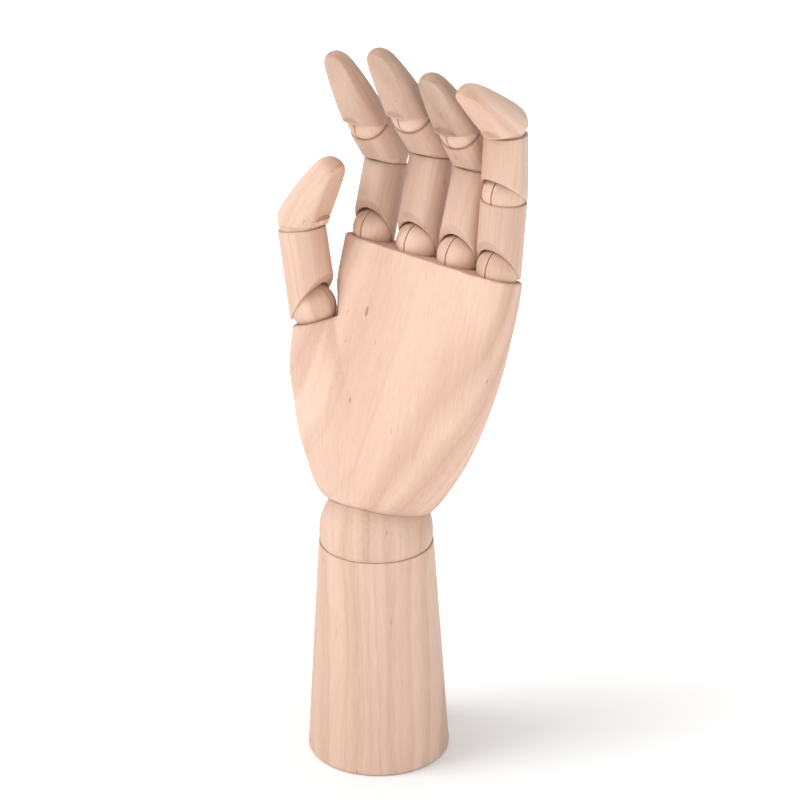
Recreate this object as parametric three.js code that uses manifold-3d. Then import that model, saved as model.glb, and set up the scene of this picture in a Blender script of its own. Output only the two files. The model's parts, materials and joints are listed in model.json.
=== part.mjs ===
// A life-size jointed wooden left hand on a tapered forearm, in millimetres, +Z up.
//
// The origin is the centre of the forearm's underside. The palm faces -Y, the thumb is on the
// -X side and the little finger on the +X side. Every finger joint is a wooden ball glued in a
// shallow cup of the lower segment. The upper segment's hood rides over it, and a steel link in
// the ball's kerf holds the two together. The hand is posed with the fingers half closed.

import * as THREE from 'three';
import { mergeVertices } from 'three/addons/utils/BufferGeometryUtils.js';
import Module from 'manifold-3d';

const wasm = await Module();
wasm.setup();

// ---- driving dimensions ----

const GAP = 0.3; // clearance kept between pieces that touch
const BIG = 60; // side of a cutting block, larger than any piece it cuts

const FOREARM = { height: 96, baseRadius: 30, topRadius: 23.9, edge: 1.2, boreRadius: 8 };
const WRIST = { radius: 23.6, height: 100.4, play: 0.7, boreWaist: 4.5, boreMouth: 14, lean: 14.8 };
const SEAT = { radius: 12.3, depth: 13 }; // counterbore in the underside for the pin and the plug
const PLUG = { radius: 12, thickness: 4 };
const SPRING = { radius: 4.6, wire: 0.8, turns: 8, bottom: 19, top: 62, hookRadius: 3.2 };
const SPRING_PIN = { radius: 2, length: 21 };
const EYE = { radius: 3.2, wire: 0.8, shankRadius: 1.4, embed: 14 };

const TOP_SLOPE = 2.9; // the palm's finger end drops towards the little finger, degrees
const TOP_HEIGHT = 117; // from the wrist's centre to the finger end, at x = 0

// Each ball is a little smaller than the segments, and the hood's socket a little larger than it
const BALL = { inset: 1.1, socketPlay: 0.6 };

// Rows of joints. rise: the ball's centre above the lower rim. hoodAngle and hoodHeight: the slope
// of the hood's open side and where it crosses the axis, measured from the ball's centre. backBend:
// the slope of the hood's lower edge on the back of the hand.
const JOINTS = {
  knuckle: { rise: 3.7, hoodAngle: 55.5, hoodHeight: 0, backBend: 5 },
  mid: { rise: 2.6, hoodAngle: 40, hoodHeight: 0.8, backBend: 5 },
  tip: { rise: 3.2, hoodAngle: 42, hoodHeight: -0.6, backBend: 12 },
  thumbKnuckle: { rise: 5.9, hoodAngle: 48, hoodHeight: 2.7, backBend: 3 },
  thumbTip: { rise: 2.6, hoodAngle: 35, hoodHeight: -0.4, backBend: 3 },
};

// Facets round each kind of piece
const SIDES = { knuckle: 12, phalanx: 16, wrist: 24, forearm: 32, palm: 24, mound: 16 };

const LINK = {
  thickness: 0.8, eyeRadius: 3, pinRadius: 1, pinInset: 1.5, tongueHalfWidth: 2, embed: 3.5,
};

// x is where the finger stands on the palm's finger end; the lists run from the knuckle out
const FINGERS = {
  index: {
    x: -24.6, radii: [9.2, 9.1, 8.7], lengths: [31.7, 22.7, 39.4], bend: [1, 52, -3], padDepth: 1.2,
  },
  middle: {
    x: -1.6, radii: [9.3, 9.1, 8.7], lengths: [39.6, 24.3, 38], bend: [3, 52, -2], padDepth: 1.2,
  },
  ring: {
    x: 19.4, radii: [9.2, 9.1, 8.7], lengths: [38.4, 21.9, 33.6], bend: [0, 52, 3], padDepth: 1.2,
  },
  little: {
    x: 39.5, radii: [9.3, 9.3, 8.8], lengths: [31.1, 28.9, 35], bend: [12, 5, 53], padDepth: 1.4,
  },
};

const PAD_SLOPE = 11.5; // of the flat on the pad side of a fingertip

const THUMB = {
  foot: [-38.3, -11.1, 81.1],
  turn: 93.3, // its pad faces across the palm
  lean: -12.8,
  tip: -19.7,
  radii: [10.2, 10],
  lengths: [36.1, 33.8],
  bend: [9, 42],
  padDepth: 3,
};

// Sections of the palm, bottom to top: height, centre x and y, half width, half depth, squareness
const PALM_SECTIONS = [
  [10.7, -1.5, 0, 22.3, 21, 2],
  [14, -1.6, -0.5, 26.2, 21.5, 2.05],
  [22, -1.4, -1, 31.4, 21.5, 2.15],
  [36, 0.3, -1, 36.8, 20.5, 2.3],
  [54, 2.1, -0.5, 40.6, 19, 2.5],
  [74, 4.3, 0, 42.3, 16.5, 2.8],
  [96, 6.8, 0, 42.3, 13.2, 3.2],
  [112, 7.6, 0, 41.9, 11.2, 4],
  [124, 7.7, 0, 41.7, 10.5, 4],
];

// The mound below the thumb: centre, radius, from inside the heel to the thumb's foot
const MOUND_SECTIONS = [
  [[-10, -3, 20], 15],
  [[-20.5, -7, 36], 16],
  [[-29, -9.5, 52], 15],
  [[-34.8, -10.8, 66], 12.8],
];

// ---- materials ----

const FOREARM_COLOR = 0xe3bfa6;
const PALM_COLOR = 0xe8c8b0;
const PHALANX_COLOR = 0xe0bba2;
const BALL_COLOR = 0xd9b096;
const STEEL_COLOR = 0xa9abad;

const wood = (color) => new THREE.MeshStandardMaterial({ color, roughness: 0.6, metalness: 0 });
const steel = () =>
  new THREE.MeshStandardMaterial({ color: STEEL_COLOR, roughness: 0.35, metalness: 1 });

// ---- solids ----

const radians = THREE.MathUtils.degToRad;

function toSolid(geometry) {
  const bare = new THREE.BufferGeometry();
  bare.setAttribute('position', geometry.getAttribute('position'));
  bare.setIndex(geometry.getIndex());
  const merged = mergeVertices(bare, 1e-4);
  const vertProperties = new Float32Array(merged.getAttribute('position').array);
  const triVerts = new Uint32Array(merged.getIndex().array);
  return new wasm.Manifold(new wasm.Mesh({ numProp: 3, vertProperties, triVerts }));
}

function toGeometry(solid) {
  const mesh = solid.getMesh();
  const geometry = new THREE.BufferGeometry();
  geometry.setAttribute('position', new THREE.BufferAttribute(mesh.vertProperties, 3));
  geometry.setIndex(new THREE.BufferAttribute(mesh.triVerts, 1));
  geometry.computeVertexNormals();
  return geometry;
}

const cut = (solid, ...tools) => tools.reduce((left, tool) => left.subtract(tool), solid);

// A solid of revolution about Z, from [radius, z] points that start and end on the axis
function turned(profile, sides) {
  const points = profile.map(([radius, z]) => new THREE.Vector2(radius, z));
  return toSolid(new THREE.LatheGeometry(points, sides).rotateX(Math.PI / 2));
}

const cylinder = (radius, bottom, top, sides) =>
  turned([[0, bottom], [radius, bottom], [radius, top], [0, top]], sides);

function sphere(radius, sides, height = 0) {
  const round = new THREE.SphereGeometry(radius, sides, Math.round(sides / 2));
  return toSolid(round.rotateX(Math.PI / 2).translate(0, 0, height));
}

const rodAlongX = (radius, length, sides) =>
  toSolid(new THREE.CylinderGeometry(radius, radius, length, sides).rotateZ(Math.PI / 2));

function block(low, high) {
  const size = high.map((value, i) => value - low[i]);
  const centre = high.map((value, i) => (value + low[i]) / 2);
  return toSolid(new THREE.BoxGeometry(...size).translate(...centre));
}

// Everything below a plane that is turned about X and lies at the given height under the origin
function belowPlane(angle, height) {
  const half = new THREE.BoxGeometry(BIG, BIG, BIG).translate(0, 0, height - BIG / 2);
  return toSolid(half.rotateX(radians(angle)));
}

// A closed skin through rings of equal point counts, with flat ends
function loft(rings) {
  const count = rings[0].length;
  const points = rings.flat();
  const index = [];
  for (let ring = 0; ring + 1 < rings.length; ring += 1) {
    for (let i = 0; i < count; i += 1) {
      const next = (i + 1) % count;
      const [a, b] = [ring * count + i, ring * count + next];
      const [c, d] = [a + count, b + count];
      index.push(a, b, d, a, d, c);
    }
  }
  const last = (rings.length - 1) * count;
  for (let i = 1; i + 1 < count; i += 1) {
    index.push(0, i + 1, i);
    index.push(last, last + i, last + i + 1);
  }
  const geometry = new THREE.BufferGeometry().setFromPoints(points);
  geometry.setIndex(index);
  return toSolid(geometry);
}

// One ring of a superellipse: power 2 is an ellipse, higher powers are squarer
function superellipse([z, x, y, halfWidth, halfDepth, power], count) {
  return Array.from({ length: count }, (_, i) => {
    const angle = (2 * Math.PI * i) / count;
    const [c, s] = [Math.cos(angle), Math.sin(angle)];
    const across = Math.sign(c) * Math.abs(c) ** (2 / power) * halfWidth;
    const deep = Math.sign(s) * Math.abs(s) ** (2 / power) * halfDepth;
    return new THREE.Vector3(x + across, y + deep, z);
  });
}

// ---- scene graph helpers ----

const hand = new THREE.Group();

function addMesh(parent, name, solid, material) {
  const mesh = new THREE.Mesh(toGeometry(solid), material);
  mesh.name = name;
  parent.add(mesh);
  return mesh;
}

function addGroup(parent, x, y, z) {
  const group = new THREE.Group();
  group.position.set(x, y, z);
  parent.add(group);
  return group;
}

// ---- finger joints ----

// The pivot pin stops short of the ball's surface on both sides
const pinLength = (segmentRadius) => 2 * (segmentRadius - BALL.inset - LINK.pinInset);

// The ball is glued in the lower segment, with its centre above that segment's rim. Its kerf runs
// from the pad side over the top, and the pivot pin's bore crosses it.
function knuckleBall(segmentRadius) {
  const radius = segmentRadius - BALL.inset;
  const half = LINK.thickness / 2 + GAP;
  const room = LINK.eyeRadius + GAP;
  const kerf = block([-half, -radius - 1, -room], [half, room, radius + 1]);
  const bore = rodAlongX(LINK.pinRadius + GAP, pinLength(segmentRadius) + 2 * GAP, 8);
  return cut(sphere(radius, SIDES.knuckle), kerf, bore);
}

// The cup that holds a glued ball at the given height
const ballCup = (segmentRadius, height) =>
  sphere(segmentRadius - BALL.inset + GAP, SIDES.knuckle, height);

// The steel tongue turns with the upper segment on its pivot pin, through the ball's centre
function steelLink(segmentRadius) {
  const outline = new THREE.Shape();
  const halfWidth = LINK.tongueHalfWidth;
  const length = segmentRadius + LINK.embed;
  const shoulder = Math.acos(halfWidth / LINK.eyeRadius);
  outline.moveTo(halfWidth, length);
  outline.lineTo(-halfWidth, length);
  outline.absarc(0, 0, LINK.eyeRadius, Math.PI - shoulder, 2 * Math.PI + shoulder, false);
  outline.closePath();
  const settings = { depth: LINK.thickness, bevelEnabled: false, curveSegments: 8 };
  const plate = new THREE.ExtrudeGeometry(outline, settings);
  plate.translate(0, 0, -LINK.thickness / 2).rotateX(Math.PI / 2).rotateZ(Math.PI / 2);
  return toSolid(plate).add(rodAlongX(LINK.pinRadius, pinLength(segmentRadius), 8));
}

// What a joint removes from its upper segment: the socket, the slot for the link, the open side of
// the hood, and what would meet the lower rim when it is straight or bent back
function hoodCuts(radius, { rise, hoodAngle, hoodHeight, backBend }) {
  const half = LINK.thickness / 2 + GAP;
  const width = LINK.tongueHalfWidth + GAP;
  return [
    sphere(radius - BALL.inset + BALL.socketPlay, SIDES.knuckle),
    block([-half, -width, 0], [half, width, radius + LINK.embed + GAP]),
    belowPlane(-hoodAngle, hoodHeight * Math.cos(radians(hoodAngle))),
    belowPlane(0, GAP - rise),
    belowPlane(backBend, GAP - rise),
  ];
}

// A proximal or middle phalanx, from its lower joint up to its rim, with the next ball's cup
function phalanx(radius, topRadius, length, joint, nextRise) {
  const top = length - nextRise;
  const profile = [
    [0, -radius], [radius, -radius], [radius, 0.2 * length],
    [topRadius, top - 0.6], [topRadius - 0.6, top], [0, top],
  ];
  const blank = turned(profile, SIDES.phalanx);
  return cut(blank, ...hoodCuts(radius, joint), ballCup(topRadius, length));
}

// A distal phalanx: tapered to a round tip, with a slanted flat on the pad side that passes
// padDepth from the axis at the tip
function distalPhalanx(radius, length, joint, padDepth) {
  const profile = [
    [0, -radius], [radius, -radius], [radius, 0.12 * length], [0.91 * radius, 0.42 * length],
    [0.79 * radius, 0.68 * length], [0.66 * radius, 0.85 * length], [0.47 * radius, 0.945 * length],
    [0.24 * radius, 0.988 * length], [0, length],
  ];
  const blank = turned(profile, SIDES.phalanx);
  const pad = new THREE.BoxGeometry(BIG, BIG, BIG).translate(0, -BIG / 2, 0);
  pad.rotateX(radians(-PAD_SLOPE)).translate(0, -padDepth, length);
  return cut(blank, ...hoodCuts(radius, joint), toSolid(pad));
}

// One jointed digit on the lower segment's rim: each row of joints carries the next. A length is
// from a ball's centre to the next one's, and the last from the ball's centre to the tip.
function addDigit(foot, digit, rows, { radii, lengths, bend, padDepth }) {
  let joint = addGroup(foot, 0, 0, rows[0].shape.rise);
  rows.forEach(({ name, bone, shape }, i) => {
    const radius = radii[i];
    addMesh(joint, `${digit}_${name}_ball`, knuckleBall(radius), wood(BALL_COLOR));
    const upper = addGroup(joint, 0, 0, 0);
    upper.rotation.x = radians(bend[i]);
    const next = rows[i + 1];
    const solid = next
      ? phalanx(radius, radii[i + 1], lengths[i], shape, next.shape.rise)
      : distalPhalanx(radius, lengths[i], shape, padDepth);
    addMesh(upper, `${digit}_${bone}_phalanx`, solid, wood(PHALANX_COLOR));
    addMesh(upper, `${digit}_${name}_link`, steelLink(radius), steel());
    joint = addGroup(upper, 0, 0, lengths[i]);
  });
}

// ---- forearm and wrist ----

function forearm() {
  const { height, baseRadius, topRadius, edge, boreRadius } = FOREARM;
  const profile = [
    [0, 0], [baseRadius - edge, 0], [baseRadius, edge],
    [topRadius, height - edge / 2], [topRadius - edge / 2, height], [0, height],
  ];
  const cup = sphere(WRIST.radius + WRIST.play, SIDES.wrist, WRIST.height);
  const springBore = cylinder(boreRadius, -1, WRIST.height, SIDES.knuckle);
  const seat = cylinder(SEAT.radius, -1, SEAT.depth, SIDES.knuckle);
  return cut(turned(profile, SIDES.forearm), cup, springBore, seat);
}

// The ball's bore flares both ways from its waist, so that the palm and the forearm can tilt
function wristBall() {
  const { radius, boreWaist, boreMouth } = WRIST;
  const flare = [[0, -radius], [boreMouth, -radius], [boreWaist, 0], [boreMouth, radius], [0, radius]];
  return cut(sphere(radius, SIDES.wrist), turned(flare, SIDES.knuckle));
}

const springPinHeight = SEAT.depth - GAP - SPRING_PIN.radius;

// The wire starts round the pin, winds up the bore and ends in a hook at the wrist's centre
function wristSpring() {
  const { radius, wire, turns, bottom, top, hookRadius } = SPRING;
  const hookCentre = WRIST.height - hookRadius / 2;
  const points = [];
  for (let step = 0; step <= 8; step += 1) {
    const angle = radians(400 - step * 38.75);
    const y = hookRadius * Math.cos(angle);
    points.push(new THREE.Vector3(0, y, springPinHeight + hookRadius * Math.sin(angle)));
  }
  for (let step = 0; step <= turns * 8; step += 1) {
    const angle = (step * Math.PI) / 4;
    const height = bottom + ((top - bottom) * step) / (turns * 8);
    points.push(new THREE.Vector3(radius * Math.cos(angle), radius * Math.sin(angle), height));
  }
  points.push(new THREE.Vector3(0, 0, top + 8), new THREE.Vector3(0, 0, hookCentre - 2 * hookRadius));
  for (let step = 0; step <= 8; step += 1) {
    const angle = radians(step * 38.75 - 90);
    const x = hookRadius * Math.cos(angle);
    points.push(new THREE.Vector3(x, 0, hookCentre + hookRadius * Math.sin(angle)));
  }
  const section = new THREE.Shape();
  section.absarc(0, 0, wire, 0, 2 * Math.PI, false);
  const extrudePath = new THREE.CatmullRomCurve3(points);
  const settings = { steps: 88, curveSegments: 3, bevelEnabled: false, extrudePath };
  return toSolid(new THREE.ExtrudeGeometry(section, settings));
}

// The screw eye hangs from the palm into the ball, and the spring's hook passes through it
function palmEye() {
  const { radius, wire, shankRadius, embed } = EYE;
  const ring = new THREE.TorusGeometry(radius, wire, 6, 16);
  ring.rotateY(Math.PI / 2).translate(0, 0, radius / 2);
  const shank = cylinder(shankRadius, 1.5 * radius, WRIST.radius + embed, 8);
  return toSolid(ring).add(shank);
}

// ---- palm ----

// Frames in the palm's space, whose origin is the wrist's centre
function fingerFrame(x) {
  const slope = radians(TOP_SLOPE);
  const frame = new THREE.Matrix4().makeRotationY(slope);
  return frame.setPosition(x, 0, TOP_HEIGHT - x * Math.tan(slope));
}

function thumbFrame() {
  const turn = new THREE.Matrix4().makeRotationZ(radians(THUMB.turn));
  const lean = new THREE.Matrix4().makeRotationY(radians(THUMB.lean));
  const tip = new THREE.Matrix4().makeRotationX(radians(THUMB.tip));
  return turn.multiply(lean).multiply(tip).setPosition(...THUMB.foot);
}

// A circle of the mound: it turns gradually from level into the plane of the thumb's foot
function moundRing([x, y, z], radius, progress) {
  const turn = new THREE.Quaternion().setFromEuler(new THREE.Euler(0, 0, radians(THUMB.turn)));
  const foot = new THREE.Quaternion().setFromRotationMatrix(thumbFrame());
  const tilt = foot.multiply(turn.invert());
  const partial = new THREE.Quaternion().slerp(tilt, progress);
  const ring = superellipse([0, 0, 0, radius, radius, 2], SIDES.mound);
  return ring.map((point) => point.applyQuaternion(partial).add(new THREE.Vector3(x, y, z)));
}

function thumbMound() {
  const rings = MOUND_SECTIONS.map(([centre, radius], i) =>
    moundRing(centre, radius, i / MOUND_SECTIONS.length),
  );
  return loft([...rings, moundRing(THUMB.foot, THUMB.radii[0] + GAP, 1)]);
}

function palm() {
  const body = loft(PALM_SECTIONS.map((section) => superellipse(section, SIDES.palm)));
  const topCut = new THREE.BoxGeometry(3 * BIG, BIG, BIG).translate(0, 0, BIG / 2);
  topCut.rotateY(radians(TOP_SLOPE)).translate(0, 0, TOP_HEIGHT);
  const fingerCups = Object.values(FINGERS).map(({ x, radii }) =>
    ballCup(radii[0], JOINTS.knuckle.rise).transform(fingerFrame(x).toArray()),
  );
  const thumbRise = JOINTS.thumbKnuckle.rise;
  const thumbCup = ballCup(THUMB.radii[0], thumbRise).transform(thumbFrame().toArray());
  const wristCup = sphere(WRIST.radius + WRIST.play, SIDES.wrist);
  const eyeBore = cylinder(EYE.shankRadius + GAP, 0, WRIST.radius + EYE.embed + GAP, 8);
  const slab = cut(body, toSolid(topCut));
  return cut(slab.add(thumbMound()), ...fingerCups, thumbCup, wristCup, eyeBore);
}

// ---- assembly ----

addMesh(hand, 'forearm', forearm(), wood(FOREARM_COLOR));
addMesh(hand, 'base_plug', cylinder(PLUG.radius, 0, PLUG.thickness, SIDES.knuckle), wood(FOREARM_COLOR));
addMesh(hand, 'wrist_spring', wristSpring(), steel());
const springPin = addMesh(hand, 'spring_pin', rodAlongX(SPRING_PIN.radius, SPRING_PIN.length, 10), steel());
springPin.position.z = springPinHeight;

const wrist = addGroup(hand, 0, 0, WRIST.height);
addMesh(wrist, 'wrist_ball', wristBall(), wood(BALL_COLOR));

const palmGroup = addGroup(wrist, 0, 0, 0);
palmGroup.rotation.x = radians(-WRIST.lean);
addMesh(palmGroup, 'palm', palm(), wood(PALM_COLOR));
addMesh(palmGroup, 'palm_eye', palmEye(), steel());

const FINGER_ROWS = [
  { name: 'knuckle', bone: 'proximal', shape: JOINTS.knuckle },
  { name: 'mid', bone: 'middle', shape: JOINTS.mid },
  { name: 'tip', bone: 'distal', shape: JOINTS.tip },
];
const THUMB_ROWS = [
  { name: 'knuckle', bone: 'proximal', shape: JOINTS.thumbKnuckle },
  { name: 'tip', bone: 'distal', shape: JOINTS.thumbTip },
];

for (const [digit, finger] of Object.entries(FINGERS)) {
  const foot = addGroup(palmGroup, 0, 0, 0);
  foot.applyMatrix4(fingerFrame(finger.x));
  addDigit(foot, digit, FINGER_ROWS, finger);
}

const thumbFoot = addGroup(palmGroup, 0, 0, 0);
thumbFoot.applyMatrix4(thumbFrame());
addDigit(thumbFoot, 'thumb', THUMB_ROWS, THUMB);

export default hand;
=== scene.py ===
"""Looks for a jointed wooden hand on its forearm stand: fine meshes, wood, steel, light and camera.

Every wooden piece is built again as a fine mesh in the local frame of its joint, in millimetres:
Z runs along the segment, -Y is the pad side and X is the hinge's line. Places and directions come
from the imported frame.
"""

import json
import math

import bpy
import numpy as np
from mathutils import Matrix, Quaternion, Vector


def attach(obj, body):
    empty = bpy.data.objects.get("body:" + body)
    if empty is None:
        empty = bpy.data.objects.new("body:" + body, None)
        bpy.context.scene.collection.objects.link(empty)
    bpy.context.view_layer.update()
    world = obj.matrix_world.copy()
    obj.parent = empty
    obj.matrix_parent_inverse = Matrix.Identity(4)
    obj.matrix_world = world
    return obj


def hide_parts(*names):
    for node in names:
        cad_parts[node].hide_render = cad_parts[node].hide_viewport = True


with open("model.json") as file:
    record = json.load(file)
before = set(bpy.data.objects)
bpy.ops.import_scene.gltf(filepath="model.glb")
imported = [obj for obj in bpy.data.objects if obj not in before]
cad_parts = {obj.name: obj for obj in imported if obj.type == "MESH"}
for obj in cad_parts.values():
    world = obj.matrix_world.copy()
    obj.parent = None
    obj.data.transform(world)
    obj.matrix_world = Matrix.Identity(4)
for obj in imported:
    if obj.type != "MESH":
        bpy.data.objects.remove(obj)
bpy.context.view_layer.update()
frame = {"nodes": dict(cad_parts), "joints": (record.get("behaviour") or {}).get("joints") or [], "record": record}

# ---- driving dimensions, millimetres and degrees ----

MM = 0.001
GAP = 0.3  # between a hood and the rim below it
BALL_PLAY = 0.15  # between a ball and the cup or socket round it
BIG = 100.0  # side of a cutting block, larger than what it cuts

# One entry per row of joints: the ball's centre above the lower rim, the slope of the hood's open
# side and where it crosses the axis, the slope of the hood's back edge, and how much smaller the
# ball is than the segment
JOINTS = {
    "knuckle": {"rise": 3.7, "hood": 55.5, "height": 0.0, "back": 5, "inset": 0.4},
    "mid": {"rise": 2.6, "hood": 40, "height": 0.8, "back": 5, "inset": 0.5},
    "tip": {"rise": 3.2, "hood": 42, "height": -0.6, "back": 12, "inset": 0.7},
    "thumb_knuckle": {"rise": 5.9, "hood": 48, "height": 2.7, "back": 3, "inset": 0.4},
    "thumb_tip": {"rise": 2.6, "hood": 35, "height": -0.4, "back": 3, "inset": 0.5},
}
FINGER_ROWS = (("knuckle", "proximal"), ("mid", "middle"), ("tip", "distal"))
THUMB_ROWS = (("knuckle", "proximal"), ("tip", "distal"))

# The radii of a digit's segments and the tone of each one's wood, which is partly the wood's own and
# partly painted shade and light, darker on the segments that lie in shade and lighter on the lit
# thumb, the bend of its knuckle at rest, how far the pad's flat passes from the axis at the tip, and
# how softly it turns into the round
DIGITS = {
    "index": {"radii": (9.2, 9.1, 8.7), "wood_and_shade_tones": (0.76, 0.82, 0.80), "bend": 1, "pad": 1.2, "blend": 2.4},
    "middle": {"radii": (9.3, 9.1, 8.7), "wood_and_shade_tones": (0.82, 0.84, 0.76), "bend": 3, "pad": 1.2, "blend": 2.4},
    "ring": {"radii": (9.2, 9.1, 8.7), "wood_and_shade_tones": (0.89, 0.84, 0.70), "bend": 0, "pad": 1.2, "blend": 2.4},
    "little": {"radii": (9.3, 9.3, 8.8), "wood_and_shade_tones": (0.88, 0.92, 0.98), "bend": 12, "pad": 1.4, "blend": 0.9},
    "thumb": {"radii": (10.2, 10.0), "wood_and_shade_tones": (1.02, 1.02), "bend": 9, "pad": 3.0, "blend": 0.9},
}
AXIS_SIDE = {"thumb": -1}  # the digits whose hinge axes run against local X
PAD_SLOPE = 11.5  # of the pad's flat to the segment's axis
PAD_REACH = 0.05  # cosine of the angle from the pad side beyond which the flat can't reach
PAD_HOLLOW = 0.6  # the pad's flat is slightly concave
TIP_PROFILE = (  # radius over the segment's radius, height over the length
    (1.0, 0.0), (1.0, 0.12), (0.91, 0.42), (0.79, 0.68), (0.66, 0.85),
    (0.47, 0.945), (0.24, 0.988), (0.0, 1.0),
)
SHOULDER = 0.2  # share of a segment's length over which it keeps its lower radius
RIM_EDGE = 0.7  # the rounded edge of a segment's upper rim

# The steel tongue with its eye, its depth in the upper segment and its bevel; the pivot pin and how
# far it stops short of the segment's side; the play beside the tongue and its room to swing
LINK = {
    "half": 0.26, "half_width": 2.0, "eye": 3.0, "embed": 3.5, "bevel": 0.12,
    "pin": 1.0, "pin_inset": 2.6, "play": 0.1, "swing": 1.2,
}

# The foot's rounded edge and the rim's; the bore for the spring and the seat below it for the plug
FOREARM = {
    "height": 96, "base": 30, "top": 23.9, "edge": 1.4, "rim_edge": 0.6,
    "bore": 8.3, "bore_low": 2, "seat": 12.4, "seat_top": 13,
}
# The ball is bored both ways in a cone, from the waist at its centre to the mouth at its surface
WRIST = {"radius": 23.6, "play": 0.35, "waist": 4.6, "mouth": 14.2, "half_neck": 0.6, "lean": 14.8}
PLUG = {"radius": 12, "thickness": 4, "edge": 0.5}
EYE_BORE = {"radius": 1.7, "top": 38}  # for the screw eye, in the palm's frame

TOP_SLOPE = 2.9  # of the palm's sawn top, falling to the little finger
TOP_HEIGHT = 117
PALM_SECTIONS = (  # height, centre x and y, half width, half depth, squareness
    (10.7, -1.9, 0, 22.7, 21, 2),
    (14, -2.4, -0.5, 27, 21.5, 2.05),
    (22, -2.3, -1, 32.3, 21.5, 2.15),
    (36, -0.3, -1, 37.4, 20.5, 2.3),
    (54, 1.9, -0.5, 40.8, 19, 2.5),
    (74, 3.9, 0, 42.7, 16.5, 2.8),
    (96, 6.2, 0, 42.9, 13.2, 3.2),
    (112, 7.0, 0, 42.5, 11.2, 4),
    (124, 7.1, 0, 42.3, 10.5, 4),
)
MOUND_SECTIONS = (  # centre, half width and half depth, up to the thumb's foot
    (-9, -3, 18, 23.5, 17),
    (-15, -5.5, 36, 25.5, 17),
    (-22.5, -7.5, 52, 22, 16.5),
    (-31.5, -9.8, 66, 16.5, 14),
)
FOOT_MARGIN = 0.2  # the mound's last circle is this much wider than the thumb
MOUND_OVERRUN = 2.5  # the mound is drawn past the thumb's foot and then faced off
RELIEF = {"angle": -12.5, "room": 0.4, "length": 36}  # beside the closed thumb
PALM_VOXEL = 0.7  # fineness of the palm's mesh
PALM_BLEND = 60  # smoothing steps that blend the mound into the palm
PALM_EDGE = 6  # smoothing steps that round the sawn edges

HOOD_EDGE = 0.28  # the rounded edge of a hood
SAWN_LEAST = 0.02  # a hood's sawn face is never narrower than this

COLUMNS = 96  # round a finger segment
ROUND_COLUMNS = 160  # round the forearm and the wrist
BALL_ROWS = 49  # from pole to pole of a knuckle ball
WRIST_ROWS = 97  # and of the wrist ball
SAWN_ROWS = 7  # across a hood's sawn face
HOLLOW_ROWS = 14  # from a hood's sawn face to the hollow's roof
TIP_ROWS = 44  # along a fingertip
FINE_STEPS = 400  # where a line is searched or read off closely
SHARP_ANGLE = 32  # edges sharper than this stay sharp

# ---- the frame ----

joints = {j["name"]: j for j in frame["joints"]}
record = frame["record"]
UPRIGHT = Matrix.Identity(4)  # the frame of the pieces that stand straight up
body_of = {n: body for body, nodes in record["behaviour"]["bodies"].items() for n in nodes}


def joint_centre(name):
    return Vector(joints[name]["pos_m"])


def basis(origin, x_axis, z_axis):
    """The matrix of a local frame: Z as given, X as near as it can be to x_axis."""
    z = z_axis.normalized()
    y = z.cross(x_axis).normalized()
    x = y.cross(z)
    matrix = Matrix((x, y, z)).transposed().to_4x4()
    matrix.translation = origin
    return matrix


def farthest_vertex(node, point):
    return max((v.co for v in frame["nodes"][node].data.vertices), key=lambda co: (co - point).length)


# ---- meshes ----


def make_object(name, points, faces, matrix=None):
    """A smooth-shaded object from local points in millimetres."""
    mesh = bpy.data.meshes.new(name)
    mesh.from_pydata([tuple(p) for p in np.asarray(points, float) * MM], [], faces)
    mesh.validate()
    mesh.update()
    obj = bpy.data.objects.new(name, mesh)
    bpy.context.scene.collection.objects.link(obj)
    obj.matrix_world = matrix or Matrix.Identity(4)
    bpy.context.view_layer.update()
    return obj


def soften(obj):
    obj.data.shade_smooth()
    obj.data.set_sharp_from_angle(angle=math.radians(SHARP_ANGLE))


def skin(name, columns, profile_at, matrix=None):
    """A closed turned skin whose profile may change round the axis.

    profile_at(angle) gives [radius, height] rows from the top of the axis to its bottom; the angle
    is measured from the pad side. The first and last rows lie on the axis.
    """
    angles = np.linspace(0, 2 * math.pi, columns, endpoint=False)
    profiles = [np.asarray(profile_at(a), float) for a in angles]
    rows = len(profiles[0]) - 2
    points = [(0, 0, profiles[0][0][1])]
    for a, profile in zip(angles, profiles):
        points += [(r * math.sin(a), -r * math.cos(a), z) for r, z in profile[1:-1]]
    points.append((0, 0, profiles[0][-1][1]))
    last = len(points) - 1
    faces = []
    for i in range(columns):
        here, there = 1 + i * rows, 1 + ((i + 1) % columns) * rows
        faces.append((0, here, there))
        faces += [(here + k, here + k + 1, there + k + 1, there + k) for k in range(rows - 1)]
        faces.append((here + rows - 1, last, there + rows - 1))
    return make_object(name, points, faces, matrix)


def loft(name, rings, matrix=None):
    """A closed skin through rings of equal point counts, with flat ends."""
    count = len(rings[0])
    points = np.concatenate(rings)
    faces = []
    for ring in range(len(rings) - 1):
        for i in range(count):
            a, b = ring * count + i, ring * count + (i + 1) % count
            faces.append((a, b, b + count, a + count))
    faces.append(tuple(reversed(range(count))))
    faces.append(tuple(range(len(points) - count, len(points))))
    return make_object(name, points, faces, matrix)


def box(low, high, matrix=None):
    corners = [(x, y, z) for z in (low[2], high[2]) for y in (low[1], high[1]) for x in (low[0], high[0])]
    faces = [(0, 2, 3, 1), (4, 5, 7, 6), (0, 1, 5, 4), (1, 3, 7, 5), (3, 2, 6, 7), (2, 0, 4, 6)]
    return make_object("tool", corners, faces, matrix)


def turned(name, profile, columns, matrix=None):
    """A solid of revolution from [radius, height] rows, listed from the top down."""
    return skin(name, columns, lambda angle: profile, matrix)


def rod_along_x(radius, half_length, matrix):
    turn = Matrix.Rotation(math.pi / 2, 4, "Y")
    profile = [(0, half_length), (radius, half_length), (radius, -half_length), (0, -half_length)]
    return turned("tool", profile, 24, matrix @ turn)


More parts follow.
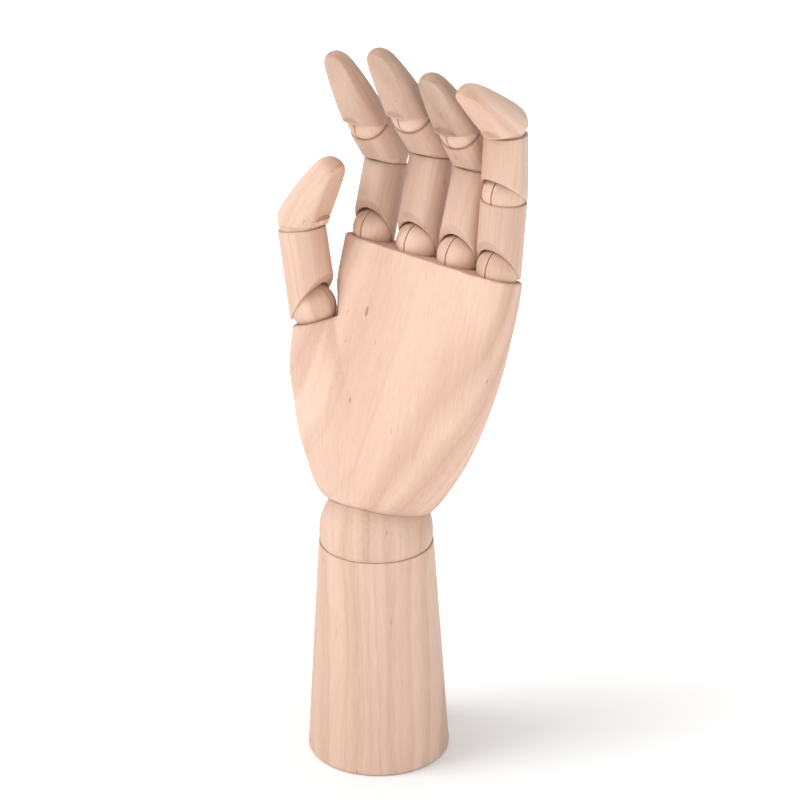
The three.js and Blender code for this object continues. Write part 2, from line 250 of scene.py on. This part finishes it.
def with_modifiers(obj, *settings):
    """Applies modifiers given as (type, {property: value})."""
    for kind, values in settings:
        modifier = obj.modifiers.new(kind.lower(), kind)
        for key, value in values.items():
            setattr(modifier, key, value)
    bpy.context.view_layer.update()
    evaluated = obj.evaluated_get(bpy.context.evaluated_depsgraph_get())
    mesh = bpy.data.meshes.new_from_object(evaluated)
    obj.modifiers.clear()
    obj.data = mesh
    return obj


def cut(obj, *tools):
    """Cuts the tools away and deletes them."""
    for tool in tools:
        with_modifiers(obj, ("BOOLEAN", {"operation": "DIFFERENCE", "solver": "EXACT", "object": tool}))
        bpy.data.objects.remove(tool)
    return obj


def smooth_line(rows, count):
    """A Catmull-Rom line through rows of numbers, with the first and last rows kept."""
    rows = np.asarray(rows, float)
    padded = np.vstack([2 * rows[0] - rows[1], rows, 2 * rows[-1] - rows[-2]])
    out = []
    for t in np.linspace(0, len(rows) - 1, count):
        k = min(int(t), len(rows) - 2)
        u = t - k
        a, b, c, d = padded[k:k + 4]
        out.append(0.5 * (2 * b + (c - a) * u + (2 * a - 5 * b + 4 * c - d) * u**2
                          + (3 * b - a - 3 * c + d) * u**3))
    return np.array(out)


def arc(centre, radius, start, end, count):
    """[radius, height] rows on a circle, angles from the horizontal in degrees."""
    angles = np.radians(np.linspace(start, end, count))
    return [(centre[0] + radius * math.cos(a), centre[1] + radius * math.sin(a)) for a in angles]


def sphere_rows(radius, count):
    """[radius, height] rows of a whole sphere from the top down, closed on the axis."""
    return [(0, radius), *arc((0, 0), radius, 90, -90, count)[1:-1], (0, -radius)]


def dressed(obj, node, material):
    """The piece stands for a CAD node: it rides that node's body and wears its slot.

    Its points go into the shared frame, as a CAD node's do, so that its box is a true one.
    """
    soften(obj)
    obj.data.transform(obj.matrix_world)
    obj.matrix_world = Matrix.Identity(4)
    obj.data.materials.clear()
    obj.data.materials.append(material)
    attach(obj, body_of[node])
    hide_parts(node)
    return obj


# ---- materials ----


class Nodes:
    """Short calls that build a node tree."""

    def __init__(self, name):
        self.material = bpy.data.materials.new(name)
        self.material.use_nodes = True
        self.tree = self.material.node_tree
        self.shader = self.tree.nodes["Principled BSDF"]

    def add(self, kind, inputs=None, **properties):
        node = self.tree.nodes.new(kind)
        for key, value in properties.items():
            setattr(node, key, value)
        for key, value in (inputs or {}).items():
            self.feed(node.inputs[key], value)
        return node

    def feed(self, socket, value):
        if isinstance(value, bpy.types.NodeSocket):
            self.tree.links.new(value, socket)
        else:
            socket.default_value = value

    def math(self, operation, *values, clamp=False):
        inputs = dict(enumerate(values))
        return self.add("ShaderNodeMath", inputs, operation=operation, use_clamp=clamp).outputs[0]

    def vector(self, operation, *values, **named):
        inputs = {**dict(enumerate(values)), **named}
        return self.add("ShaderNodeVectorMath", inputs, operation=operation).outputs[0]

    def noise(self, vector, scale, detail=2.0, roughness=0.5, dimensions="3D"):
        inputs = {"Scale": scale, "Detail": detail, "Roughness": roughness}
        if dimensions == "1D":
            inputs["W"] = vector
        else:
            inputs["Vector"] = vector
        return self.add("ShaderNodeTexNoise", inputs, noise_dimensions=dimensions).outputs["Fac"]

    def stretch(self, value, low, high, to_low=0.0, to_high=1.0):
        inputs = {"Value": value, "From Min": low, "From Max": high, "To Min": to_low, "To Max": to_high}
        return self.add("ShaderNodeMapRange", inputs, clamp=True).outputs["Result"]

    def mix(self, factor, a, b):
        """The colour sockets of a mix node are its inputs 6 and 7 and its output 2."""
        inputs = {"Factor": factor, 6: a, 7: b}
        return self.add("ShaderNodeMix", inputs, data_type="RGBA").outputs[2]

    def bump(self, height, strength, distance):
        inputs = {"Strength": strength, "Distance": distance, "Height": height}
        self.feed(self.shader.inputs["Normal"], self.add("ShaderNodeBump", inputs).outputs[0])


WOOD = {
    "light": (0.77, 0.540, 0.425, 1),
    "deep": (0.58, 0.362, 0.260, 1),
    "fleck": (0.36, 0.190, 0.115, 1),
    # painted highlight laid on sharp edges
    "edge": (0.90, 0.68, 0.54, 1),
    # end grain's colour, dark enough to be partly painted shade on the hoods' sawn faces and the balls' tops
    "end": (0.42, 0.235, 0.150, 1),
}
FIGURE = {  # scale per mm, detail, roughness, and the scale along the fibres against across them
    "waves": (0.055, 2.0, 0.5, 0.22),
    "cloud": (0.05, 2.0, 0.5, 0.22),
    "streak": (1.1, 4.0, 0.6, 0.045),
    "fine": (4.5, 3.0, 0.7, 0.045),
    "flecks": (0.50, 1.0, 0.4, 0.16),
}
WAVE_HEIGHT = 9.0  # mm that a growth layer wanders
SEED_SHIFT = (37.1, 53.7, 71.3)  # mm that each unit of seed moves the figure, within SEED_SPAN
SEED_SPAN = 90
STEEL_LOOK = {"bright": (0.56, 0.56, 0.57, 1), "dull": (0.36, 0.35, 0.34, 1)}
DRAWN_SCALE = (9000, 9000, 500)  # drawing marks per metre, long along Z


def grain_space(n, grain):
    """Where a point lies, in mm, and how far it faces along the fibres, in the grain's frame."""
    coordinates = n.add("ShaderNodeTexCoord").outputs
    turn = {"Rotation": grain.to_euler()}
    in_grain = {0: coordinates["Object"], "Location": grain.translation, **turn}
    place = n.add("ShaderNodeMapping", in_grain, vector_type="TEXTURE").outputs[0]
    facing = n.add("ShaderNodeMapping", {0: coordinates["Normal"], **turn}, vector_type="TEXTURE").outputs[0]
    along = n.add("ShaderNodeSeparateXYZ", {0: facing}).outputs[2]
    return n.vector("SCALE", place, Scale=1 / MM), n.math("ABSOLUTE", along)


def figure(n, in_mm, seed):
    """Every noise in FIGURE, by name."""
    moved = n.vector("ADD", in_mm, tuple(seed * step % SEED_SPAN for step in SEED_SHIFT))
    noises = {}
    for key, (scale, detail, roughness, along) in FIGURE.items():
        drawn_out = n.vector("MULTIPLY", moved, (1, 1, along))
        noises[key] = n.noise(drawn_out, scale, detail, roughness)
    return noises


def growth_layers(n, in_mm, waves, seed, pith, band, tilt):
    """The tone of each layer round the pith, and the thin late wood between layers."""
    x, y, z = n.add("ShaderNodeSeparateXYZ", {0: in_mm}).outputs
    dx, dy = n.math("SUBTRACT", x, pith[0]), n.math("SUBTRACT", y, pith[1])
    distance = n.math("SQRT", n.math("ADD", n.math("MULTIPLY", dx, dx), n.math("MULTIPLY", dy, dy)))
    leaned = n.math("ADD", distance, n.math("MULTIPLY", z, tilt))
    wandering = n.math("ADD", leaned, n.math("MULTIPLY", waves, WAVE_HEIGHT))
    layers = n.math("DIVIDE", wandering, band)
    layer_tone = n.noise(n.math("ADD", layers, seed * 3.7), 1.0, 1.0, 0.5, "1D")
    from_middle = n.math("ABSOLUTE", n.math("SUBTRACT", n.math("FRACT", layers), 0.5))
    return layer_tone, n.stretch(from_middle, 0.38, 0.5)


def wood(name, grain, seed, pith, band, tilt=0.04, fleck=0.5, tone=1.0):
    """Bare pale hardwood, cut from a board.

    grain is the frame whose Z runs along the fibres. The growth layers are cylinders round a pith
    that lies off the piece, at pith (x, y) mm. band is a layer's width in mm, tilt how the pith
    leans along the grain, fleck how dark the flecks are, and tone scales the colours.
    """
    n = Nodes(name)
    in_mm, facing_along = grain_space(n, grain)
    marks = figure(n, in_mm, seed)
    layer_tone, late = growth_layers(n, in_mm, marks["waves"], seed, pith, band, tilt)

    body = n.math("ADD", n.stretch(layer_tone, 0.36, 0.66, 0.0, 0.50), n.math("MULTIPLY", late, 0.20))
    body = n.math("ADD", body, n.stretch(marks["streak"], 0.32, 0.70, -0.10, 0.20))
    body = n.math("ADD", body, n.stretch(marks["cloud"], 0.35, 0.65, -0.10, 0.15), clamp=True)
    scaled = {key: (*(c * tone for c in value[:3]), 1) for key, value in WOOD.items()}
    colour = n.mix(body, scaled["light"], scaled["deep"])
    # faces that look along the fibres take the end grain's colour: partly the real darker end grain, partly
    # painted shade on the hoods' downward sawn faces and the balls' tops under the hoods
    colour = n.mix(n.stretch(facing_along, 0.40, 0.85, 0.0, 0.42), colour, scaled["end"])
    colour = n.mix(n.stretch(marks["fine"], 0.52, 0.80, 0.0, 0.16), colour, scaled["fleck"])
    flecks = n.stretch(marks["flecks"], 0.75, 0.80)
    colour = n.mix(n.math("MULTIPLY", flecks, fleck), colour, scaled["fleck"])
    # sharp convex edges turn lighter: a painted highlight along the edges
    edge_highlight = n.stretch(n.add("ShaderNodeNewGeometry").outputs["Pointiness"], 0.52, 0.60, 0.0, 0.5)
    n.feed(n.shader.inputs["Base Color"], n.mix(edge_highlight, colour, scaled["edge"]))

    n.feed(n.shader.inputs["Roughness"], n.stretch(marks["streak"], 0.3, 0.7, 0.46, 0.60))
    n.shader.inputs["Specular IOR Level"].default_value = 0.32
    height = n.math("ADD", n.math("MULTIPLY", marks["fine"], 0.6), n.math("MULTIPLY", marks["streak"], 0.4))
    n.bump(height, 0.22, 0.00012)
    return n.material


def steel():
    """Bright drawn steel with fine drawing marks and a few dull patches."""
    n = Nodes("drawn_steel")
    place = n.add("ShaderNodeTexCoord").outputs["Object"]
    marks = n.noise(n.vector("MULTIPLY", place, DRAWN_SCALE), 1.0, 3.0, 0.6)
    dull = n.noise(place, 260.0, 2.0, 0.5)
    colour = n.mix(n.stretch(dull, 0.4, 0.7), STEEL_LOOK["bright"], STEEL_LOOK["dull"])
    n.feed(n.shader.inputs["Base Color"], colour)
    n.feed(n.shader.inputs["Roughness"], n.stretch(marks, 0.3, 0.7, 0.26, 0.44))
    n.shader.inputs["Metallic"].default_value = 1.0
    n.bump(marks, 0.15, 0.00005)
    return n.material


STEEL = steel()

# ---- digits ----


def hood_edge(radius, angle, joint):
    """How high above the ball's centre the hood's open side stands at a place round the axis."""
    forward = radius * math.cos(angle)
    slope, back = math.radians(joint["hood"]), math.radians(joint["back"])
    floor = GAP - joint["rise"]
    return max(
        joint["height"] + forward * math.tan(slope),
        floor,
        (floor - forward * math.sin(back)) / math.cos(back),
    )


def hood_rows(radius, angle, joint, ball_radius):
    """The lower end of a segment: rounded edge, sawn face and the hollow round the ball.

    The hollow is a sphere at the back and runs out level to the pad side, so the ball's whole front
    stands free.
    """
    socket = ball_radius + BALL_PLAY
    across = math.sin(angle) if math.cos(angle) > 0 else 1.0

    def roof(r):
        return math.sqrt(max(socket**2 - (r * across)**2, 0))

    radii = np.linspace(radius, 0, FINE_STEPS)
    inner = next(r for r in radii if r * across <= socket and hood_edge(r, angle, joint) <= roof(r))
    inner = min(inner, radius - HOOD_EDGE - SAWN_LEAST)
    outer_height = hood_edge(radius, angle, joint)
    corner = 0.3 * HOOD_EDGE
    rows = [(radius, outer_height + HOOD_EDGE), (radius - corner, outer_height + corner)]
    rows += [(r, hood_edge(r, angle, joint)) for r in np.linspace(radius - HOOD_EDGE, inner, SAWN_ROWS)]
    if rows[-1][1] < 0:
        start = math.degrees(math.atan2(rows[-1][1], rows[-1][0]))
        return rows + arc((0, 0), socket, start, 90, HOLLOW_ROWS)[1:-1] + [(0, socket)]
    for turn in np.linspace(0, math.pi / 2, HOLLOW_ROWS)[1:-1]:
        r = inner * math.cos(turn)
        rows.append((r, roof(r)))
    return rows + [(0, socket)]


def cup_rows(radius, length, next_joint, ball_radius):
    """The upper end of a segment: the next ball's cup, a flat rim and its rounded edge."""
    cup = ball_radius + BALL_PLAY
    low = -math.degrees(math.asin(next_joint["rise"] / cup))
    top = length - next_joint["rise"]
    rows = arc((0, length), cup, -90, low, 10)
    rows[0] = (0, length - cup)
    return rows + arc((radius - RIM_EDGE, top - RIM_EDGE), RIM_EDGE, 90, 0, 6)


def phalanx_profile(radius, top_radius, length, joint, next_joint):
    cup = cup_rows(top_radius, length, next_joint, top_radius - next_joint["inset"])
    shoulder = SHOULDER * length

    def profile(angle):
        hood = hood_rows(radius, angle, joint, radius - joint["inset"])
        low = hood[0][1]
        heights = np.linspace(cup[-1][1], low, 14)[1:-1]
        side = [(np.interp(z, (shoulder, cup[-1][1]), (radius, top_radius)), z) for z in heights]
        return cup + side + hood

    return profile


def distal_profile(radius, length, joint, pad_depth, blend):
    blank = smooth_line([(r * radius, z * length) for r, z in reversed(TIP_PROFILE)], FINE_STEPS)
    slope = math.tan(math.radians(PAD_SLOPE))

    def radius_at(z, angle):
        turned_radius = np.interp(z, blank[::-1, 1], blank[::-1, 0])
        if math.cos(angle) < PAD_REACH:
            return turned_radius
        share = np.clip(z / length, 0, 1)
        flat = pad_depth + (length - z) * slope - PAD_HOLLOW * math.sin(math.pi * share)
        limit = flat / math.cos(angle)
        near = np.clip(0.5 + 0.5 * (limit - turned_radius) / blend, 0, 1)
        return limit + (turned_radius - limit) * near - blend * near * (1 - near)

    def profile(angle):
        hood = hood_rows(radius, angle, joint, radius - joint["inset"])
        shares = 1 - np.cos(np.linspace(0, math.pi / 2, TIP_ROWS))
        heights = length + (hood[0][1] - length) * shares
        side = [(radius_at(z, angle), z) for z in heights[1:-1]]
        return [(0, length)] + side + hood

    return profile


def ball(name, radius, pin_half, matrix):
    """A knuckle ball with the kerf for its link and the bore for the pivot pin."""
    half, room = LINK["half"] + LINK["play"], LINK["eye"] + LINK["swing"]
    kerf = box((-half, -BIG, -room), (half, room, BIG), matrix)
    bore = rod_along_x(LINK["pin"] + GAP / 2, pin_half + GAP, matrix)
    return cut(turned(name, sphere_rows(radius, BALL_ROWS), COLUMNS, matrix), kerf, bore)


def link(name, radius, pin_half, matrix):
    """The steel tongue with its round eye and the pivot pin, with eased edges."""
    half_width, eye, half = LINK["half_width"], LINK["eye"], LINK["half"]
    top = radius + LINK["embed"]
    shoulder = math.acos(half_width / eye)
    angles = np.linspace(math.pi - shoulder, 2 * math.pi + shoulder, 40)
    outline = [(eye * math.cos(a), eye * math.sin(a)) for a in angles]
    outline += [(half_width, top), (-half_width, top)]
    outline = np.array(outline)
    bevel = LINK["bevel"]
    inner = outline * (1 - bevel / eye, 1 - bevel / top)
    steps = ((-half, inner), (bevel - half, outline), (half - bevel, outline), (half, inner))
    rings = [np.column_stack([np.full(len(ring), x), ring]) for x, ring in steps]
    plate = loft(name, rings, matrix)
    pin = rod_along_x(LINK["pin"], pin_half, matrix)
    with_modifiers(plate, ("BOOLEAN", {"operation": "UNION", "solver": "EXACT", "object": pin}))
    bpy.data.objects.remove(pin)
    return plate


def bone_wood(name, grain, seed, tone):
    """The wood of a segment: each one is cut from another place in the board."""
    pith = (28 - 9 * (seed % 4), 46 + 5 * (seed % 3))
    return wood(name, grain, seed, pith, 6.5, tone=tone)


def ball_wood(name, grain, seed):
    return wood(name, grain, seed + 20, (-22, 31 + seed), 5.0, tone=0.97)


def bone(name, profile, radius, matrix):
    """A segment, slotted for the tongue that is fixed in it."""
    width, slot_half = LINK["half_width"] + GAP / 2, LINK["half"] + LINK["play"]
    top = radius + LINK["embed"] + GAP / 2
    piece = skin(name, COLUMNS, profile, matrix)
    return cut(piece, box((-slot_half, -width, 0), (slot_half, width, top), matrix))


def digit(name, facts, rows):
    """All the pieces of one digit, from the knuckle out."""
    radii = facts["radii"]
    prefix = "thumb_" if name == "thumb" else ""
    lower_axis = None
    for i, (row, segment) in enumerate(rows):
        hinge = joints[f"{name}_{row}_bend"]
        origin = Vector(hinge["pos_m"])
        x_axis = Vector(hinge["axis"]) * AXIS_SIDE.get(name, 1)
        last = i == len(rows) - 1
        node = f"{name}_{segment}_phalanx"
        end = farthest_vertex(node, origin) if last else joint_centre(f"{name}_{rows[i + 1][0]}_bend")
        axis = (end - origin).normalized()
        if lower_axis is None:
            lower_axis = Matrix.Rotation(-math.radians(facts["bend"]), 3, x_axis) @ axis
        lower, upper = basis(origin, x_axis, lower_axis), basis(origin, x_axis, axis)
        joint = JOINTS[prefix + row]
        radius, length = radii[i], (end - origin).length / MM
        pin_half = radius - LINK["pin_inset"]
        if last:
            profile = distal_profile(radius, length, joint, facts["pad"], facts["blend"])
        else:
            next_joint = JOINTS[prefix + rows[i + 1][0]]
            profile = phalanx_profile(radius, radii[i + 1], length, joint, next_joint)
        seed = 3 * list(DIGITS).index(name) + i + 1
        bone_piece = bone(f"{name}_{segment}", profile, radius, upper)
        # the segment's tone is partly the wood's own and partly painted shade
        dressed(bone_piece, node, bone_wood(f"wood_{name}_{segment}", upper, seed, facts["wood_and_shade_tones"][i]))
        ball_piece = ball(f"{name}_{row}_turned_ball", radius - joint["inset"], pin_half, lower)
        dressed(ball_piece, f"{name}_{row}_ball", ball_wood(f"wood_{name}_{row}_ball", lower, seed))
        dressed(link(f"{name}_{row}_tongue", radius, pin_half, upper), f"{name}_{row}_link", STEEL)
        lower_axis = axis


# ---- palm ----

wrist_centre = joint_centre("wrist_bend")
palm_frame = Matrix.Translation(wrist_centre) @ Matrix.Rotation(-math.radians(WRIST["lean"]), 4, "X")


def knuckle_frame(name):
    """The frame of a digit's first ball, standing on the palm."""
    hinge = joints[f"{name}_knuckle_bend"]
    second = joint_centre(f"{name}_tip_bend" if name == "thumb" else f"{name}_mid_bend")
    origin = Vector(hinge["pos_m"])
    x_axis = Vector(hinge["axis"]) * AXIS_SIDE.get(name, 1)
    bend = math.radians(DIGITS[name]["bend"])
    axis = Matrix.Rotation(-bend, 3, x_axis) @ (second - origin).normalized()
    return basis(origin, x_axis, axis)


def superellipse(section, count):
    z, x, y, half_width, half_depth, power = section
    angles = np.linspace(0, 2 * math.pi, count, endpoint=False)
    c, s = np.cos(angles), np.sin(angles)
    across = np.sign(c) * np.abs(c) ** (2 / power) * half_width
    deep = np.sign(s) * np.abs(s) ** (2 / power) * half_depth
    return np.column_stack([x + across, y + deep, np.full(count, z)])


def mound_rings(thumb):
    """Circles that turn from level into the plane of the thumb's foot, in the palm's frame."""
    local = palm_frame.inverted() @ thumb
    up = local.to_quaternion() @ Vector((0, 0, 1))
    tilt = Vector((0, 0, 1)).rotation_difference(up)
    foot = local.translation / MM - up * JOINTS["thumb_knuckle"]["rise"]
    radius = DIGITS["thumb"]["radii"][0] + FOOT_MARGIN
    rows = [*MOUND_SECTIONS, (*foot, radius, radius), (*(foot + up * MOUND_OVERRUN), radius, radius)]
    rings = []
    for t, row in zip(np.linspace(0, len(rows) - 1, 46), smooth_line(rows, 46)):
        turn = Quaternion().slerp(tilt, min(t / (len(rows) - 2), 1))
        ring = [Vector(p) for p in superellipse((0, 0, 0, row[3], row[4], 2), 64)]
        rings.append(np.array([turn @ p + Vector(row[:3]) for p in ring]))
    return rings


def ball_tool(name, frame_matrix):
    joint = JOINTS["thumb_knuckle" if name == "thumb" else "knuckle"]
    radius = DIGITS[name]["radii"][0] - joint["inset"] + BALL_PLAY
    return turned("tool", sphere_rows(radius, BALL_ROWS), COLUMNS, frame_matrix)


def wrist_tool(matrix):
    radius = WRIST["radius"] + WRIST["play"]
    return turned("tool", sphere_rows(radius, WRIST_ROWS), ROUND_COLUMNS, matrix)


def thumb_relief():
    """The room that the thumb's first segment needs when it is closed on the palm."""
    hinge = joints["thumb_knuckle_bend"]
    origin, swing = Vector(hinge["pos_m"]), Vector(hinge["axis"])
    along = (joint_centre("thumb_tip_bend") - origin).normalized()
    closed = Matrix.Rotation(math.radians(RELIEF["angle"]), 3, swing) @ along
    radius, length = DIGITS["thumb"]["radii"][0] + RELIEF["room"], RELIEF["length"]
    rows = [(0, length), (radius, length), (radius, 0), (0, 0)]
    return turned("tool", rows, COLUMNS, basis(origin, swing, closed))


def palm():
    thumb = knuckle_frame("thumb")
    sections = smooth_line(PALM_SECTIONS, 90)
    piece = loft("palm_carved", [superellipse(s, 160) for s in sections], palm_frame)
    mound = loft("mound", mound_rings(thumb), palm_frame)
    with_modifiers(piece, ("BOOLEAN", {"operation": "UNION", "solver": "EXACT", "object": mound}))
    bpy.data.objects.remove(mound)
    remesh = ("REMESH", {"mode": "VOXEL", "voxel_size": PALM_VOXEL * MM})
    with_modifiers(piece, remesh, ("SMOOTH", {"factor": 0.5, "iterations": PALM_BLEND}))

    slope = Matrix.Rotation(math.radians(TOP_SLOPE), 4, "Y")
    top = palm_frame @ Matrix.Translation((0, 0, TOP_HEIGHT * MM)) @ slope
    foot = thumb @ Matrix.Translation((0, 0, -JOINTS["thumb_knuckle"]["rise"] * MM))
    facing = turned("tool", [(0, 16), (12, 16), (12, 0), (0, 0)], COLUMNS, foot)
    cut(piece, box((-BIG, -BIG, 0), (BIG, BIG, BIG), top), facing, thumb_relief())
    with_modifiers(piece, remesh, ("SMOOTH", {"factor": 0.5, "iterations": PALM_EDGE}))

    tools = [ball_tool(name, knuckle_frame(name)) for name in DIGITS]
    eye_rows = [(0, EYE_BORE["top"]), (EYE_BORE["radius"], EYE_BORE["top"]), (EYE_BORE["radius"], 0), (0, 0)]
    tools += [wrist_tool(palm_frame), turned("tool", eye_rows, 32, palm_frame)]
    cut(piece, *tools)
    dressed(piece, "palm", wood("wood_palm", palm_frame, 5.3, (34, 62), 8.5, tilt=0.20, fleck=0.75, tone=1.0))


# ---- forearm and wrist ----


def forearm():
    """Turned from the cup over the rim, down the tapered side to the seat, and then bored."""
    f = FOREARM
    centre_height = wrist_centre.z / MM
    cup = WRIST["radius"] + WRIST["play"]
    rim_angle = math.degrees(math.asin((f["height"] - centre_height) / cup))
    bore_angle = -math.degrees(math.acos(f["bore"] / cup))
    cup_line = arc((0, centre_height), cup, bore_angle, rim_angle, 24)
    cup_floor = cup_line[0][1]
    edge, rim = f["edge"], f["rim_edge"]
    rows = [(0, cup_floor), *cup_line, *arc((f["top"] - rim, f["height"] - rim), rim, 90, 0, 5)]
    heights = np.linspace(f["height"] - rim, edge, 30)[1:-1]
    rows += [(np.interp(z, (0, f["height"]), (f["base"], f["top"])), z) for z in heights]
    rows += arc((f["base"] - edge, edge), edge, 0, -90, 7)
    rows += [(f["seat"], 0), (f["seat"], f["seat_top"]), (0, f["seat_top"])]
    piece = turned("forearm_turned", rows, ROUND_COLUMNS)
    bore_top = cup_floor + 5
    bore = [(0, bore_top), (f["bore"], bore_top), (f["bore"], f["bore_low"]), (0, f["bore_low"])]
    cut(piece, turned("tool", bore, COLUMNS))
    forearm_wood = wood("wood_forearm", UPRIGHT, 2.7, (58, 30), 7.0, tilt=0.015, fleck=0.55, tone=0.97)
    dressed(piece, "forearm", forearm_wood)


def base_plug():
    r, t, e = PLUG["radius"], PLUG["thickness"], PLUG["edge"]
    rows = [(0, t), *arc((r - e, t - e), e, 90, 0, 5), *arc((r - e, e), e, 0, -90, 5), (0, 0)]
    piece = turned("base_plug_turned", rows, COLUMNS)
    dressed(piece, "base_plug", wood("wood_plug", UPRIGHT, 8.1, (40, 20), 5.0, tone=0.95))


def wrist_ball():
    w = WRIST
    matrix = Matrix.Translation(wrist_centre)
    piece = turned("wrist_ball_turned", sphere_rows(w["radius"], WRIST_ROWS), ROUND_COLUMNS, matrix)
    reach = w["radius"] + 1
    mouth = w["waist"] + (w["mouth"] - w["waist"]) * reach / w["radius"]
    upper = [(0, reach), (mouth, reach), (w["waist"], w["half_neck"])]
    lower = [(r, -z) for r, z in reversed(upper)]
    cut(piece, turned("tool", upper + lower, COLUMNS, matrix))
    dressed(piece, "wrist_ball", wood("wood_wrist", matrix, 3.9, (60, 24), 7.0, tilt=0.02, tone=0.94))


def steel_inside():
    """The spring, its pin and the screw eye stay as the CAD has them."""
    for node in ("wrist_spring", "spring_pin", "palm_eye"):
        mesh = frame["nodes"][node].data
        mesh.materials.clear()
        mesh.materials.append(STEEL)
        mesh.shade_smooth()


forearm()
base_plug()
wrist_ball()
palm()
for digit_name, digit_facts in DIGITS.items():
    digit(digit_name, digit_facts, THUMB_ROWS if digit_name == "thumb" else FINGER_ROWS)
steel_inside()

# ---- floor, light and camera ----

FLOOR_SIZE = 8000
# painted light: the floor glows, faintly at the stand and strongly beyond, which keeps the far floor white and
# lightens the cast shadow away from the foot
FLOOR_GLOW = (0.04, 0.4)  # metres from the stand over which the floor turns pure white
LIGHTS = (  # name, place, size, power in watts
    ("key_left", (-1150, -1250, 1950), 1500, 34),
    ("fill_right", (1500, -1300, 800), 1800, 15),
    ("top", (-200, 400, 2000), 1800, 12),
)
AIM = (0, 0, 150)
CAMERA = {
    "distance": 1004.6, "height": 582.1, "azimuth": 39.0, "pitch": 22.87, "yaw": -0.59, "roll": -0.51,
    "lens": 120.8, "sensor": 36.0,
}


def floor():
    half = FLOOR_SIZE / 2
    corners = [(-half, -half, 0), (half, -half, 0), (half, half, 0), (-half, half, 0)]
    plane = make_object("floor", corners, [(0, 1, 2, 3)])
    plane.location.z = -0.0001
    n = Nodes("pale_floor")
    n.shader.inputs["Base Color"].default_value = (0.94, 0.94, 0.94, 1)
    n.shader.inputs["Roughness"].default_value = 0.9
    n.shader.inputs["Specular IOR Level"].default_value = 0.1
    n.shader.inputs["Emission Color"].default_value = (1, 1, 1, 1)
    # painted light: the floor's glow grows with the distance from the stand
    place = n.add("ShaderNodeTexCoord").outputs["Object"]
    away = n.add("ShaderNodeVectorMath", {0: place}, operation="LENGTH").outputs["Value"]
    n.feed(n.shader.inputs["Emission Strength"], n.stretch(away, *FLOOR_GLOW, 0.05, 0.6))
    plane.data.materials.append(n.material)


def lights():
    for name, place, size, power in LIGHTS:
        data = bpy.data.lights.new(name, "AREA")
        data.shape = "DISK"
        data.size = size * MM
        data.energy = power
        lamp = bpy.data.objects.new(name, data)
        bpy.context.scene.collection.objects.link(lamp)
        lamp.location = Vector(place) * MM
        toward = Vector(AIM) * MM - lamp.location
        lamp.rotation_euler = toward.to_track_quat("-Z", "Y").to_euler()
    world = bpy.data.worlds.new("studio")
    world.use_nodes = True
    background = world.node_tree.nodes["Background"]
    background.inputs["Color"].default_value = (1.0, 0.995, 0.985, 1)
    background.inputs["Strength"].default_value = 0.38
    bpy.context.scene.world = world
    bpy.context.scene.view_settings.view_transform = "Standard"


def camera():
    c = CAMERA
    azimuth = math.radians(c["azimuth"])
    turn, pitch, roll = (math.radians(v) for v in (c["azimuth"] + c["yaw"], c["pitch"], c["roll"]))
    forward = Vector((-math.sin(turn) * math.cos(pitch), math.cos(turn) * math.cos(pitch), -math.sin(pitch)))
    right = Vector((math.cos(turn), math.sin(turn), 0))
    up = right.cross(forward)
    rolled_right = right * math.cos(roll) + up * math.sin(roll)
    rolled_up = up * math.cos(roll) - right * math.sin(roll)
    matrix = Matrix((rolled_right, rolled_up, -forward)).transposed().to_4x4()
    place = (c["distance"] * math.sin(azimuth), -c["distance"] * math.cos(azimuth), c["height"])
    matrix.translation = Vector(place) * MM
    data = bpy.data.cameras.new("camera")
    data.lens = c["lens"]
    data.sensor_width = c["sensor"]
    data.clip_start = 0.05
    data.clip_end = 50
    view = bpy.data.objects.new("camera", data)
    bpy.context.scene.collection.objects.link(view)
    view.matrix_world = matrix
    bpy.context.scene.camera = view


floor()
lights()
camera()
